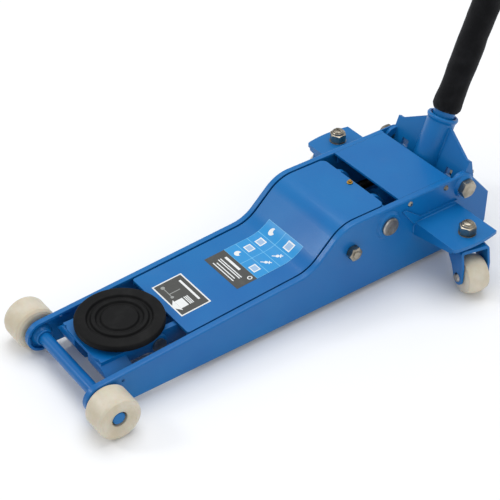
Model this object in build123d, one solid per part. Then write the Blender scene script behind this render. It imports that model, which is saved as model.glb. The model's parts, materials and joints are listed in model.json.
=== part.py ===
from build123d import *
import math
import os

# Low-profile hydraulic trolley jack, in millimetres, +Z up.
# The front (saddle) end faces -Y and the handle end faces +Y.
# All y sizes below are measured from the front axle. save() then moves the
# model so that the origin is on the floor under the middle of the whole jack.
ORIGIN_Y = 490.0

# Frame side plates
PLATE_OUT = 80.0          # outer face, from the centre plane
PLATE_T = 3.5
PLATE_IN = PLATE_OUT - PLATE_T
FLANGE_IN = 70.7          # inner edge of the rolled top flange
TOP_AT_AXLE = 53.4
TOP_SLOPE = 0.0665
STEP_FRONT_Y = 331.4      # where the top edge starts to climb
STEP_REAR_Y = 386.9
TOP_HIGH = 127.4
STEP_R = 55.0

# Front axle and rollers
AXLE_Z = 30.4
AXLE_R = 8.8
AXLE_END = 121.0
NOSE_R = (TOP_AT_AXLE - AXLE_Z) / math.hypot(1, TOP_SLOPE)   # the nose runs tangent into the top edge
NOSE_Y = -NOSE_R * math.sin(math.atan(TOP_SLOPE))
PLATE_LOW = AXLE_Z - NOSE_R
WHEEL_R = 30.4
WHEEL_IN = 85.6
WHEEL_OUT = 127.4
WHEEL_HUB_R = 11.0         # pocket for the circlip

# Linkage pivots, as (y, z)
ARM_PIVOT = (462.0, 100.0)
SADDLE_PIVOT = (106.0, 45.0)
LINK_REAR = (399.5, 83.0)
LINK_FRONT = (SADDLE_PIVOT[0] + LINK_REAR[0] - ARM_PIVOT[0],
              SADDLE_PIVOT[1] + LINK_REAR[1] - ARM_PIVOT[1])
SHAFT_R = 13.5
TUBE_R = 18.0
LINK_BOLT_R = 6.0
LINK_SLEEVE_R = 9.0
FIT = 0.06                # radial running clearance of a shaft in its bore
GAP = 0.3                 # clearance between parts that move past each other
LINK_PIN_R = 7.0
LINK_HALF = 6.0
LINK_ARC = math.dist(ARM_PIVOT, LINK_REAR)
LOW_END = (Align.CENTER, Align.CENTER, Align.MIN)   # stands a solid on its lower end

# Cover over the frame's rear end
REAR_COVER_FRONT = 487.0
REAR_COVER_REAR = 578.0
COVER_TAB_OUT = 70.4
COVER_TAB_T = 3.0
COVER_TAB_LOW = 110.0
COVER_SCREW_Y = (500.8, 566.0)
COVER_SCREW_Z = 118.5
COVER_SCREW_R = 2.5
TIE_BAR_R = 6.0
TIE_BARS = ((300.0, 17.0), (535.0, 17.0))

# Lift arm
COVER_HALF = 67.5
COVER_T = 4.0
COVER_DROP = 0.5          # the arm's cover lies this much below the flanges
COVER_FRONT = 139.0
COVER_REAR = 464.5
CHEEK_IN = 33.0
CHEEK_OUT = 41.0
HUB_R = 24.0
EYE_R = 13.7
TUBE_HALF = 64.0
NIPPLE_Y = 458.0
NIPPLE_R = 3.0
CROSS_PLATE_Y = (236.0, 242.0)
CROSS_PLATE_LOW = 54.0
HEEL_ARM = 45.0           # arm pivot to heel pin
HEEL_SWING = 39.0         # heel pin behind straight down, at rest, in degrees
HEEL_R = 8.0
HEEL_Y = ARM_PIVOT[0] + HEEL_ARM * math.sin(math.radians(HEEL_SWING))
HEEL_Z = ARM_PIVOT[1] - HEEL_ARM * math.cos(math.radians(HEEL_SWING))

# Saddle
SADDLE_Y = 77.9
PAD_TOP = 74.4
PAD_T = 11.0
PAD_R = 60.1
BRACKET_IN = 42.0
BRACKET_OUT = 48.0
BRACKET_TOP = 59.0
LOBE_IN = 17.0             # the nose is notched between its lobes
LOBE_OUT = 64.0
SADDLE_PIN_R = 7.0
SADDLE_HUB_R = 11.0

# Hydraulics
RAM_Z = 60.0
RAM_R = 14.0
RAM_HEAD_REAR = HEEL_Y + 17.2
CYLINDER_FRONT = 508.5
CYLINDER_R = 27.0
CYLINDER_BORE = 22.0
GLAND_R = 29.0
GLAND_T = 8.0
PISTON_FRONT = 574.0
PISTON_T = 8.0
BLOCK_FRONT = 586.0
BLOCK_REAR = 646.0
BLOCK_HALF = 40.0
BLOCK_LOW = 20.0
BLOCK_TOP = 86.0
PLUNGER_Y = 622.0
PLUNGER_R = 8.0
PLUNGER_CAP_R = 12.0
PLUNGER_CAP_T = 5.0
SPRING_SEAT = 74.0        # floor of the pocket that holds the pump spring
VALVE_R = 5.0
FILLER = (28.0, 634.0)
BLOCK_SCREW_X = 30.0
BLOCK_SCREW_Y = (594.0, 638.0)
CROSS_LOW = 14.0
SPRING_X = 52.0           # return springs, from the centre plane
SPRING_ANCHOR_Y = 600.0
COIL_R = 7.0

# Handle yoke and handle, drawn upright about the yoke pivot, then leaned back
YOKE_PIVOT = (600.0, 108.0)
LEAN = 22.0
YOKE_HALF = 76.0
EAR_IN = 70.5             # inner face of the yoke's ears
YOKE_BOLT_R = 8.0
YOKE_BOLT_END = 70.7      # the bolts screw into the side plates and carry the ears
ROLLER_ARM = 24.0
ROLLER_ANGLE = 19.0       # above horizontal, behind the pivot
ROLLER_R = 9.0
NECK_R = 21.0
NECK_TOP = 72.8
HANDLE_R = 16.0
HANDLE_WALL = 2.0
HANDLE_LOW = 34.0         # the lower tube starts this far above the yoke pivot
HANDLE_JOINT = 562.0      # where the upper tube takes over
HANDLE_SCREW = 545.0
HANDLE_END = 1050.0
GRIP_START = 918.0
GRIP_R = 19.0
SLEEVE_START = 81.0
SLEEVE_END = 431.0
SLEEVE_R = 21.5

# Casters
STUD_X = 142.9
STUD_Y = 552.0
STUD_R = 7.0
STUD_TOP = 103.5
EAR_TOP = 85.0
EAR_T = 5.0
CASTER_R = 27.8
CASTER_HALF = 17.0
CASTER_AXLE_R = 4.0
FORK_HALF = CASTER_HALF + 5.0
BEARING_T = 5.5
BEARING_LOW = EAR_TOP - EAR_T - BEARING_T
TRAIL = 19.8
TRAIL_ANGLE = -12.5       # the casters trail outwards and a little forwards


def save(name, *shapes):
    """Write one sub-part, moved to the jack's own origin."""
    moved = [Pos(0, -ORIGIN_Y, 0) * solid for shape in shapes for solid in shape.solids()]
    export_step(Compound(children=moved), f"parts/{name}.step")


def rod_x(radius, x0, x1, y, z):
    return Pos((x0 + x1) / 2, y, z) * Rot(0, 90, 0) * Cylinder(radius, x1 - x0)


def rod_y(radius, y0, y1, x, z):
    return Pos(x, (y0 + y1) / 2, z) * Rot(90, 0, 0) * Cylinder(radius, y1 - y0)


def rod_z(radius, z0, z1, x, y):
    return Pos(x, y, (z0 + z1) / 2) * Cylinder(radius, z1 - z0)


def block(x0, x1, y0, y1, z0, z1):
    return Pos((x0 + x1) / 2, (y0 + y1) / 2, (z0 + z1) / 2) * Box(x1 - x0, y1 - y0, z1 - z0)


def polygon(*points):
    """Filled outline through the points, facing up whichever way they run."""
    pairs = zip(points, points[1:] + points[:1])
    area = sum(a[0] * b[1] - b[0] * a[1] for a, b in pairs)
    return Polygon(*(points if area > 0 else points[::-1]), align=None)


def slab(outline, x0, x1):
    """Extrude a sketch drawn in (y, z) from x0 to x1."""
    return extrude(Plane.YZ.offset(x0) * outline, x1 - x0, dir=(1, 0, 0))


def hexagon_x(across_flats, x0, x1, y, z):
    head = extrude(RegularPolygon(across_flats / 2, 6, major_radius=False), x1 - x0)
    head = head & Cylinder(across_flats * 0.56, 4 * (x1 - x0))
    return Pos(x0, y, z) * Rot(0, 90, 0) * head


def hexagon_z(across_flats, z0, z1, x, y):
    head = extrude(RegularPolygon(across_flats / 2, 6, major_radius=False), z1 - z0)
    return Pos(x, y, z0) * head


def turned_x(profile, y, z):
    """Revolve a profile of (x, radius) points about an axis along X."""
    face = make_face(Polyline(*profile, close=True))
    return Pos(0, y, z) * revolve(face, Axis.X)


def turned_z(profile, x, y):
    """Revolve a profile of (radius, z) points about a vertical axis."""
    face = Plane.XZ * make_face(Polyline(*profile, close=True))
    return Pos(x, y, 0) * revolve(face, Axis.Z)


def mirrored(shape):
    return mirror(shape, Plane.YZ)


def top_z(y):
    """Height of the low section's top edge."""
    return TOP_AT_AXLE + TOP_SLOPE * y


def below_top(drop, y0, y1, floor):
    """Sketch of what lies under the frame's stepped top line, lowered by drop."""
    outline = polygon(
        (y0, floor), (y0, top_z(y0) - drop), (STEP_FRONT_Y, top_z(STEP_FRONT_Y) - drop),
        (STEP_REAR_Y, TOP_HIGH - drop), (y1, TOP_HIGH - drop), (y1, floor))
    corners = [v for v in outline.vertices() if STEP_FRONT_Y - 1 < v.X < STEP_REAR_Y + 1]
    lower, upper = sorted(corners, key=lambda v: v.X)
    outline = fillet([lower], STEP_R + drop)
    upper = max((v for v in outline.vertices() if v.Y > TOP_HIGH - drop - 1 and v.X < STEP_REAR_Y + 1),
                key=lambda v: v.X)
    return fillet([upper], STEP_R - drop)


# ---------------------------------------------------------------- frame

def side_outline(inset):
    """The side plate's outline; inset lowers its top line and its nose."""
    body = below_top(inset, NOSE_Y, 600, PLATE_LOW)
    body -= polygon((NOSE_Y - 1, 0), (0, PLATE_LOW), (NOSE_Y, AXLE_Z), (-9, 9))
    nose = Pos(0, AXLE_Z) * Circle(NOSE_R - inset)
    rear_y, rear_z = YOKE_PIVOT
    boss = Pos(rear_y, rear_z) * Circle(TOP_HIGH - rear_z - inset)
    tail = polygon(
        (rear_y - 10, PLATE_LOW), (rear_y - 10, rear_z), (rear_y + 16.8, rear_z + 9.7),
        (652.8, 76.0), (651.8, 26.0), (640.0, PLATE_LOW))
    return body + nose + boss + tail


def side_plate():
    plate = slab(side_outline(0), FLANGE_IN, PLATE_OUT)
    plate = fillet([e for e in plate.edges() if e.center().X > PLATE_OUT - 0.01], 2.5)
    pocket = slab(side_outline(PLATE_T), FLANGE_IN - 1, PLATE_IN)
    open_bottom = block(FLANGE_IN - 1, PLATE_IN, 0, 700, 0, AXLE_Z)
    open_rear = block(FLANGE_IN - 1, PLATE_IN, YOKE_PIVOT[0] - 21, 700, 0, 200)
    plate = plate - pocket - open_bottom - open_rear
    rear_y, rear_z = YOKE_PIVOT
    plate += Pos(PLATE_OUT, rear_y, rear_z) * Rot(0, 90, 0) * Cone(17.5, 14.5, 3.5, align=LOW_END)
    plate += turned_x([(PLATE_OUT, 13.0), (PLATE_OUT, 21.5), (83.5, 18.5), (83.5, 13.0)], *ARM_PIVOT)
    plate -= rod_x(AXLE_R, 60, 90, 0, AXLE_Z)
    plate -= rod_x(SHAFT_R, 60, 90, *ARM_PIVOT)
    plate -= rod_x(LINK_BOLT_R, 60, 90, *LINK_REAR)
    plate -= rod_x(YOKE_BOLT_R, 60, 90, rear_y, rear_z)
    plate -= rod_x(2.2, 60, 90, 31.9, 46.0)
    for y in COVER_SCREW_Y:
        plate -= rod_x(COVER_SCREW_R, 60, 90, y, COVER_SCREW_Z)
    return plate


def rear_cover():
    under = TOP_HIGH - PLATE_T
    inner = COVER_TAB_OUT - COVER_TAB_T
    cover = block(-COVER_TAB_OUT, COVER_TAB_OUT, REAR_COVER_FRONT, REAR_COVER_REAR, under, TOP_HIGH)
    for x0, x1 in ((-COVER_TAB_OUT, -inner), (inner, COVER_TAB_OUT)):
        cover += block(x0, x1, REAR_COVER_FRONT + 4, REAR_COVER_REAR - 4, COVER_TAB_LOW, under)
    for y in COVER_SCREW_Y:
        cover -= rod_x(COVER_SCREW_R, -90, 90, y, COVER_SCREW_Z)
    return cover


def cover_screws():
    screws = []
    for y in COVER_SCREW_Y:
        screw = rod_x(COVER_SCREW_R, 66, PLATE_OUT, y, COVER_SCREW_Z)
        head = Pos(PLATE_OUT, y, COVER_SCREW_Z) * Rot(0, 90, 0) * Cone(4.3, 2.6, 2.4, align=LOW_END)
        screws += [screw + head, mirrored(screw + head)]
    return screws


def tie_bar(y, z):
    return rod_x(TIE_BAR_R, -PLATE_IN, PLATE_IN, y, z)


def front_axle():
    bar = rod_x(AXLE_R, -AXLE_END, AXLE_END, 0, AXLE_Z)
    for side in (-1, 1):
        groove = rod_x(AXLE_R + 1, side * 114.5 - 0.6, side * 114.5 + 0.6, 0, AXLE_Z)
        bar -= groove - rod_x(AXLE_R - 0.7, -AXLE_END, AXLE_END, 0, AXLE_Z)
    return chamfer(bar.edges().filter_by(GeomType.CIRCLE).sort_by(Axis.X)[-1:], 0.8)


def axle_circlips():
    clips = []
    for side in (-1, 1):
        clip = rod_x(10.6, side * 114.5 - 0.5, side * 114.5 + 0.5, 0, AXLE_Z)
        clip -= rod_x(AXLE_R - 0.6, -120, 120, 0, AXLE_Z)
        clips.append(clip - block(-120, 120, -3, 3, 10, AXLE_Z))
    return clips


def axle_spacers():
    spacer = rod_x(14, PLATE_OUT, WHEEL_IN - GAP, 0, AXLE_Z) - rod_x(AXLE_R, 0, 100, 0, AXLE_Z)
    inner = turned_x([(68.0, AXLE_R), (68.0, 11.0), (PLATE_IN, 16.0), (PLATE_IN, AXLE_R)], 0, AXLE_Z)
    return [spacer, mirrored(spacer), inner, mirrored(inner)]


def front_wheel():
    bore = AXLE_R + FIT
    profile = [
        (WHEEL_IN, bore), (WHEEL_IN, 24.5), (WHEEL_IN + 1.4, 28.0), (WHEEL_IN + 4.6, WHEEL_R),
        (WHEEL_OUT - 7.0, WHEEL_R), (WHEEL_OUT - 3.0, 29.0), (WHEEL_OUT - 0.8, 25.5),
        (WHEEL_OUT, 22.0), (WHEEL_OUT - 0.8, 19.5), (WHEEL_OUT - 3.0, 15.0), (WHEEL_OUT - 5.2, WHEEL_HUB_R),
        (113.4, WHEEL_HUB_R), (113.4, bore)]
    return turned_x(profile, 0, AXLE_Z)


# ---------------------------------------------------------------- lift arm

def cover_band(drop_top, drop_bottom):
    """Stepped strip between two levels below the frame's top line."""
    strip = below_top(drop_top, COVER_FRONT, COVER_REAR, 0)
    return strip - below_top(drop_bottom, COVER_FRONT - 5, COVER_REAR + 5, -5)


def arm_cover():
    sheet = slab(cover_band(COVER_DROP, COVER_DROP + COVER_T), -COVER_HALF, COVER_HALF)
    lips = slab(cover_band(COVER_DROP + COVER_T, COVER_DROP + COVER_T + 4.5), -COVER_HALF, COVER_HALF)
    lips -= block(-COVER_HALF + COVER_T, COVER_HALF - COVER_T, 0, 700, 0, 200)
    plan = RectangleRounded(2 * COVER_HALF, COVER_REAR - COVER_FRONT, 9)
    plan += Pos(0, (COVER_FRONT - COVER_REAR) / 2 + 20, 0) * RectangleRounded(2 * COVER_HALF, 40, 3)
    trim = Pos(0, (COVER_FRONT + COVER_REAR) / 2, 0) * extrude(plan, 200, dir=(0, 0, 1))
    cover = (sheet + lips) & trim
    return cover - rod_z(NIPPLE_R, 100, 140, 0, NIPPLE_Y)


def grease_nipple():
    top = TOP_HIGH - COVER_DROP
    low = ARM_PIVOT[1] + TUBE_R
    profile = [(0, low), (NIPPLE_R, low), (NIPPLE_R, top), (4.4, top), (4.4, top + 1.6),
               (2.2, top + 2.0), (2.2, top + 2.8), (2.8, top + 3.4), (2.2, top + 4.6), (0, top + 4.6)]
    return turned_z(profile, 0, NIPPLE_Y)


def ring_sector(inner, outer, start, end):
    """Ring about the arm pivot between two directions, in degrees from +Y."""
    centre = Pos(*ARM_PIVOT)
    ring = centre * (Circle(outer) - Circle(inner))
    reach = 3 * outer
    middle = (start + end) / 2
    points = [(0.0, 0.0)]
    for angle in (start, middle, end):
        turn = math.radians(angle)
        points.append((reach * math.cos(turn), reach * math.sin(turn)))
    return ring & (centre * polygon(*points))


def arm_cheek():
    """One side beam of the arm: front eye, beam, hub and heel."""
    eye = Pos(*SADDLE_PIVOT) * Circle(EYE_R)
    neck = polygon((106, 45 - EYE_R), (150, 31), (150, 57.9), (139, 57.9), (106, 45 + EYE_R))
    beam = polygon((139, 30.4), (139, 60), (331, 80), (388, 130), (450, 130), (450, 80),
                   (424, 68), (386, 54), (330, 38))
    hub = Pos(*ARM_PIVOT) * Circle(HUB_R)
    heel_end = Pos(HEEL_Y, HEEL_Z) * Circle(14)
    turn = math.radians(-90 + HEEL_SWING)
    across = (math.cos(turn + math.pi / 2), math.sin(turn + math.pi / 2))
    heel = polygon(
        (ARM_PIVOT[0] + 22 * across[0], ARM_PIVOT[1] + 22 * across[1]),
        (HEEL_Y + 13 * across[0], HEEL_Z + 13 * across[1]),
        (HEEL_Y - 13 * across[0], HEEL_Z - 13 * across[1]),
        (ARM_PIVOT[0] - 24 * across[0], ARM_PIVOT[1] - 24 * across[1]))
    outline = beam + hub + heel_end + heel
    outline -= ring_sector(LINK_ARC - LINK_SLEEVE_R - 1.5, LINK_ARC + LINK_SLEEVE_R + 1.5, 185.5, 286)
    outline &= below_top(COVER_DROP + COVER_T, 60, 520, 0)
    outline += eye + neck
    cheek = slab(outline, CHEEK_IN, CHEEK_OUT)
    cheek -= rod_x(TUBE_R, 0, 60, *ARM_PIVOT)
    cheek -= rod_x(HEEL_R, 0, 60, HEEL_Y, HEEL_Z)
    return cheek - rod_x(SADDLE_PIN_R + FIT, 0, 60, *SADDLE_PIVOT)


def arm_pivot_tube():
    tube = rod_x(TUBE_R, -TUBE_HALF, TUBE_HALF, *ARM_PIVOT)
    return tube - rod_x(SHAFT_R + FIT, -90, 90, *ARM_PIVOT)


def arm_cross_plate():
    """Stiffener between the two cheeks, in front of the step."""
    plate = block(-CHEEK_IN, CHEEK_IN, *CROSS_PLATE_Y, CROSS_PLATE_LOW, 90)
    under = slab(below_top(COVER_DROP + COVER_T, 200, 450, 0), -CHEEK_IN, CHEEK_IN)
    return plate & under


def arm_pivot_shaft():
    shaft = rod_x(SHAFT_R, -88, 88, *ARM_PIVOT)
    ends = shaft.edges().filter_by(GeomType.CIRCLE)
    return chamfer(ends, 1.5)


def shaft_spacers():
    spacer = rod_x(17, TUBE_HALF + GAP, PLATE_IN, *ARM_PIVOT) - rod_x(SHAFT_R, 0, 100, *ARM_PIVOT)
    return [spacer, mirrored(spacer)]


def heel_pin():
    return chamfer(rod_x(HEEL_R, -58, 58, HEEL_Y, HEEL_Z).edges().filter_by(GeomType.CIRCLE), 1)


# ---------------------------------------------------------------- link bar

def link_bar():
    q_y, q_z = LINK_FRONT
    r_y, r_z = LINK_REAR
    bend = (335.0, 50.0)
    outline = Pos(q_y, q_z) * Circle(13)
    outline += Pos(r_y, r_z) * Circle(13)
    outline += polygon((q_y, q_z - 8), (bend[0] + 3, bend[1] - 8), (r_y + 5, r_z - 8),
                       (r_y - 5, r_z + 8), (bend[0] - 3, bend[1] + 8), (q_y, q_z + 8))
    bar = slab(outline, -LINK_HALF, LINK_HALF)
    bar -= rod_x(LINK_PIN_R + GAP + 0.1, -20, 20, q_y, q_z)
    return bar - rod_x(LINK_BOLT_R + FIT, -20, 20, r_y, r_z)


def link_bolt():
    shank = rod_x(LINK_BOLT_R, -PLATE_OUT, 92, *LINK_REAR)
    return shank + hexagon_x(19, -PLATE_OUT - 8, -PLATE_OUT, *LINK_REAR)


def link_bolt_nut():
    return hexagon_x(19, PLATE_OUT, 90, *LINK_REAR) - rod_x(LINK_BOLT_R, 60, 100, *LINK_REAR)


def link_sleeves():
    sleeve = rod_x(LINK_SLEEVE_R, LINK_HALF + GAP, PLATE_IN, *LINK_REAR)
    sleeve -= rod_x(LINK_BOLT_R, 0, 100, *LINK_REAR)
    return [sleeve, mirrored(sleeve)]


# ---------------------------------------------------------------- saddle

def bracket_lobe():
    """One side of the casting's nose, with a shoulder that slopes down to the side plate."""
    nose = polygon((31, 15), (23, 30), (18, 42), (18, 54), (56, 54), (60, 40), (57, 24), (52, 14), (42, 12))
    lobe = slab(nose, LOBE_IN, LOBE_OUT)
    slope = extrude(Plane.XZ * polygon((44, 60), (44, 56), (LOBE_OUT + 2, 40), (LOBE_OUT + 2, 60)), 100, both=True)
    lobe -= slope
    upright = lobe.edges().filter_by(Axis.X)
    return fillet(upright, 2.5)


def saddle_bracket():
    """Casting that carries the saddle: two cheeks, a top plate, a notched nose and a hub."""
    q_y, q_z = LINK_FRONT
    cheek = polygon((20, BRACKET_TOP), (20, 44), (31, 19), (42, 12), (52, 14), (57, 24),
                    (57, 40), (88, 40), (106, 31), (119, 45), (112, 57.5), (96, BRACKET_TOP))
    cheek += Pos(*SADDLE_PIVOT) * Circle(14)
    walls = slab(cheek, BRACKET_IN, BRACKET_OUT)
    body = walls + mirrored(walls)
    plan = Pos(0, 53.5, 54) * RectangleRounded(2 * BRACKET_OUT, 71, 16)
    body += extrude(plan, BRACKET_TOP - 54, dir=(0, 0, 1))
    lobe = bracket_lobe()
    body += lobe + mirrored(lobe)
    body += rod_z(16, 45, 54, 0, SADDLE_Y)
    body -= rod_z(SADDLE_HUB_R + FIT, 40, 60, 0, SADDLE_Y)
    body -= rod_x(SADDLE_PIN_R, -60, 60, *SADDLE_PIVOT)
    return body - rod_x(LINK_PIN_R, -60, 60, q_y, q_z)


def saddle_pins():
    pin = rod_x(SADDLE_PIN_R, 30, BRACKET_OUT, *SADDLE_PIVOT)
    head = rod_x(10, BRACKET_OUT, BRACKET_OUT + 3, *SADDLE_PIVOT)
    return [pin + head, mirrored(pin + head)]


def link_front_pin():
    return rod_x(LINK_PIN_R, -50, 50, *LINK_FRONT)


def saddle_cup():
    low = BRACKET_TOP + GAP
    under_pad = PAD_TOP - PAD_T
    profile = [(0, 46), (SADDLE_HUB_R, 46), (SADDLE_HUB_R, low), (50, low), (53, low + 1.2),
               (53, under_pad), (0, under_pad)]
    return turned_z(profile, 0, SADDLE_Y)


def saddle_pad():
    low = PAD_TOP - PAD_T
    rim = PAD_R
    profile = [
        (0, low), (rim - 2, low), (rim, low + 2), (rim, PAD_TOP - 2.5), (rim - 2.5, PAD_TOP),
        (43, PAD_TOP), (42, PAD_TOP - 2.2), (39, PAD_TOP - 2.2), (37.5, PAD_TOP - 0.4),
        (31.5, PAD_TOP - 0.4), (30, PAD_TOP - 2.4), (25.5, PAD_TOP - 2.4), (24, PAD_TOP - 1.0),
        (0, PAD_TOP - 1.0)]
    return turned_z(profile, 0, SADDLE_Y)


# ---------------------------------------------------------------- hydraulics

def ram_head():
    """Slotted head that pushes the heel pin forwards."""
    body = block(-13, 13, HEEL_Y - 16.2, RAM_HEAD_REAR, RAM_Z - 20, RAM_Z + 20)
    slot = block(-20, 20, HEEL_Y - 9.2, HEEL_Y + 9.2, RAM_Z - 6, RAM_Z + 6)
    for level in (RAM_Z - 5.2, RAM_Z + 5.2):
        slot += rod_x(9.2, -20, 20, HEEL_Y, level)
    return body - slot


def ram_rod():
    return rod_y(RAM_R, RAM_HEAD_REAR, PISTON_FRONT, 0, RAM_Z)


def ram_piston():
    return rod_y(CYLINDER_BORE - 0.5, PISTON_FRONT, PISTON_FRONT + PISTON_T, 0, RAM_Z)


def ram_cylinder():
    barrel = rod_y(CYLINDER_R, CYLINDER_FRONT + GLAND_T, BLOCK_FRONT, 0, RAM_Z)
    return barrel - rod_y(CYLINDER_BORE, CYLINDER_FRONT, BLOCK_FRONT + 10, 0, RAM_Z)


def cylinder_gland():
    """Screwed end cap that guides the ram."""
    cap = rod_y(GLAND_R, CYLINDER_FRONT, CYLINDER_FRONT + GLAND_T, 0, RAM_Z)
    return cap - rod_y(RAM_R + FIT, 500, 600, 0, RAM_Z)


def pump_block():
    body = block(-BLOCK_HALF, BLOCK_HALF, BLOCK_FRONT, BLOCK_REAR, BLOCK_LOW, BLOCK_TOP)
    body = fillet(body.edges().filter_by(Axis.Z), 6)
    body -= rod_z(PLUNGER_R + FIT, 16.5, 100, 0, PLUNGER_Y)
    body -= rod_z(13.5, SPRING_SEAT, 100, 0, PLUNGER_Y)
    body -= rod_z(VALVE_R + FIT, 66, 100, 0, YOKE_PIVOT[0])
    return body - rod_z(6, 78, 100, *FILLER)


def filler_plug():
    return rod_z(6, 78, BLOCK_TOP, *FILLER) + rod_z(8, BLOCK_TOP, BLOCK_TOP + 3, *FILLER)


def block_screws():
    screws = []
    for x in (-BLOCK_SCREW_X, BLOCK_SCREW_X):
        for y in BLOCK_SCREW_Y:
            screws.append(hexagon_z(13, CROSS_LOW - 4.5, CROSS_LOW, x, y))
    return screws


def rear_cross_plate():
    plate = block(-PLATE_IN, PLATE_IN, 545, 640, CROSS_LOW, BLOCK_LOW)
    for side in (-1, 1):
        plate += rod_z(4, BLOCK_LOW, 70, side * SPRING_X, SPRING_ANCHOR_Y)
    return plate


def return_springs():
    """Each spring as one solid of its outer shape, with a loop at each end."""
    coil_start = HEEL_Y + 13
    coil_end = SPRING_ANCHOR_Y - 8
    wire = 1.2
    low, high = HEEL_Z - wire, HEEL_Z + wire
    springs = []
    for x in (-SPRING_X, SPRING_X):
        spring = rod_y(COIL_R, coil_start, coil_end, x, HEEL_Z)
        spring -= rod_y(COIL_R - 2, coil_start - 1, coil_end + 1, x, HEEL_Z)
        loop = rod_x(10.6, x - wire, x + wire, HEEL_Y, HEEL_Z)
        spring += loop - rod_x(HEEL_R + 0.2, x - 2, x + 2, HEEL_Y, HEEL_Z)
        spring += block(x - wire, x + wire, coil_start - 4, coil_start + 1, HEEL_Z - 6.5, HEEL_Z + 6.5)
        loop = rod_z(6.6, low, high, x, SPRING_ANCHOR_Y)
        spring += loop - rod_z(4.2, low - 1, high + 1, x, SPRING_ANCHOR_Y)
        spring += block(x - 6.5, x + 6.5, coil_end - 1, coil_end + 3.4, low, high)
        springs.append(spring)
    return springs


def roller_centre():
    turn = math.radians(ROLLER_ANGLE)
    return YOKE_PIVOT[0] + ROLLER_ARM * math.cos(turn), YOKE_PIVOT[1] + ROLLER_ARM * math.sin(turn)


def plunger_top():
    """The plunger's cap stops just short of the roller."""
    return roller_centre()[1] - ROLLER_R - 0.8


def pump_plunger():
    top = plunger_top()
    shoulder = top - PLUNGER_CAP_T
    return rod_z(PLUNGER_R, 44, shoulder, 0, PLUNGER_Y) + rod_z(PLUNGER_CAP_R, shoulder, top, 0, PLUNGER_Y)


def pump_spring():
    high = plunger_top() - PLUNGER_CAP_T
    tube = rod_z(11.6, SPRING_SEAT, high, 0, PLUNGER_Y)
    return tube - rod_z(9.2, SPRING_SEAT - 1, high + 1, 0, PLUNGER_Y)


def release_valve():
    """Valve spindle with a forked head, under the handle's coupling rod."""
    y = YOKE_PIVOT[0]
    head = rod_z(8, 90, 100.5, 0, y) - block(-2, 2, y - 10, y + 10, 95, 102)
    return rod_z(VALVE_R, 68, 90, 0, y) + head


# ---------------------------------------------------------------- yoke and handle

def leaned(shape):
    """Place a shape drawn upright about the yoke pivot."""
    return Pos(0, *YOKE_PIVOT) * Rot(-LEAN, 0, 0) * shape


def handle_yoke():
    """Pressed yoke: winged front plate, two ears and a flared neck tube."""
    wing = polygon((-YOKE_HALF, 19), (-YOKE_HALF, 36), (-68, 36), (-NECK_R, 62), (NECK_R, 62), (68, 36),
                   (YOKE_HALF, 36), (YOKE_HALF, 19), (EAR_IN, 14.5), (EAR_IN, -8), (-EAR_IN, -8), (-EAR_IN, 14.5))
    plate = extrude(Plane.XZ * wing, 5, both=True) & block(-90, 90, -2, 3, -20, 90)
    for side in (-1, 1):
        plate -= block(side * 47.5 - 6.5, side * 47.5 + 6.5, -5, 5, 0, 10.5)
    ear = polygon((-2, 36), (3, 36), (19, 12), (19, 0), (14, -12), (0, -18), (-14, -12), (-18, 0),
                  (-12, 12), (-2, 19))
    ears = slab(ear + Circle(19), EAR_IN, YOKE_HALF)
    ears += mirrored(ears)
    neck = rod_z(NECK_R, -5, NECK_TOP - 2, 0, 0)
    neck -= block(-30, 30, 3, 30, -10, 30)
    rim = turned_z([(NECK_R - 3.5, NECK_TOP - 8), (NECK_R, NECK_TOP - 8), (NECK_R + 1.8, NECK_TOP - 4.5),
                    (NECK_R + 2.2, NECK_TOP - 2), (NECK_R + 1, NECK_TOP), (NECK_R - 2, NECK_TOP)], 0, 0)
    bore = rod_z(NECK_R - 3.5, -10, NECK_TOP + 5, 0, 0)
    yoke = plate + ears + neck - bore + rim
    hole = rod_x(YOKE_BOLT_R + FIT, EAR_IN, 90, 0, 0)
    return leaned(yoke - hole - mirrored(hole))


def yoke_roller():
    y, z = roller_centre()
    return rod_x(ROLLER_R, -14, 14, y, z) - rod_x(5 + FIT, -20, 20, y, z)


def roller_pin():
    return rod_x(5, -EAR_IN, EAR_IN, *roller_centre())


def yoke_bush():
    return leaned(rod_z(NECK_R - 3.5, 52, 68, 0, 0) - rod_z(HANDLE_R + FIT, 40, 80, 0, 0))


def yoke_bolts():
    y, z = YOKE_PIVOT
    bolt = rod_x(YOKE_BOLT_R, YOKE_BOLT_END, 83.5, y, z) + hexagon_x(24, 83.5, 93.5, y, z)
    return [bolt, mirrored(bolt)]


def handle_lower_tube():
    tube = rod_z(HANDLE_R, HANDLE_LOW, HANDLE_JOINT - 2, 0, 0)
    tube -= rod_z(HANDLE_R - HANDLE_WALL, HANDLE_LOW - 4, HANDLE_JOINT, 0, 0)
    return leaned(tube - rod_y(3, -20, 0, 0, HANDLE_SCREW))


def handle_upper_tube():
    spigot = rod_z(HANDLE_R - HANDLE_WALL - 0.1, HANDLE_JOINT - 62, HANDLE_JOINT, 0, 0)
    upper = rod_z(HANDLE_R, HANDLE_JOINT, HANDLE_END - 4, 0, 0)
    bore = rod_z(HANDLE_R - 4.5, HANDLE_JOINT - 70, HANDLE_END, 0, 0)
    return leaned(spigot + upper - bore - rod_y(3, -20, 0, 0, HANDLE_SCREW))


def handle_screw():
    head = Pos(0, -HANDLE_R, HANDLE_SCREW) * Rot(90, 0, 0) * Cone(5.5, 4, 3, align=LOW_END)
    return leaned(rod_y(3, -HANDLE_R, -HANDLE_R + 5, 0, HANDLE_SCREW) + head)


def foam_sleeve():
    outer = turned_z([(HANDLE_R, SLEEVE_START), (SLEEVE_R - 2, SLEEVE_START), (SLEEVE_R, SLEEVE_START + 3),
                      (SLEEVE_R, SLEEVE_END - 3), (SLEEVE_R - 2, SLEEVE_END), (HANDLE_R, SLEEVE_END)], 0, 0)
    return leaned(outer)


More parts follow.
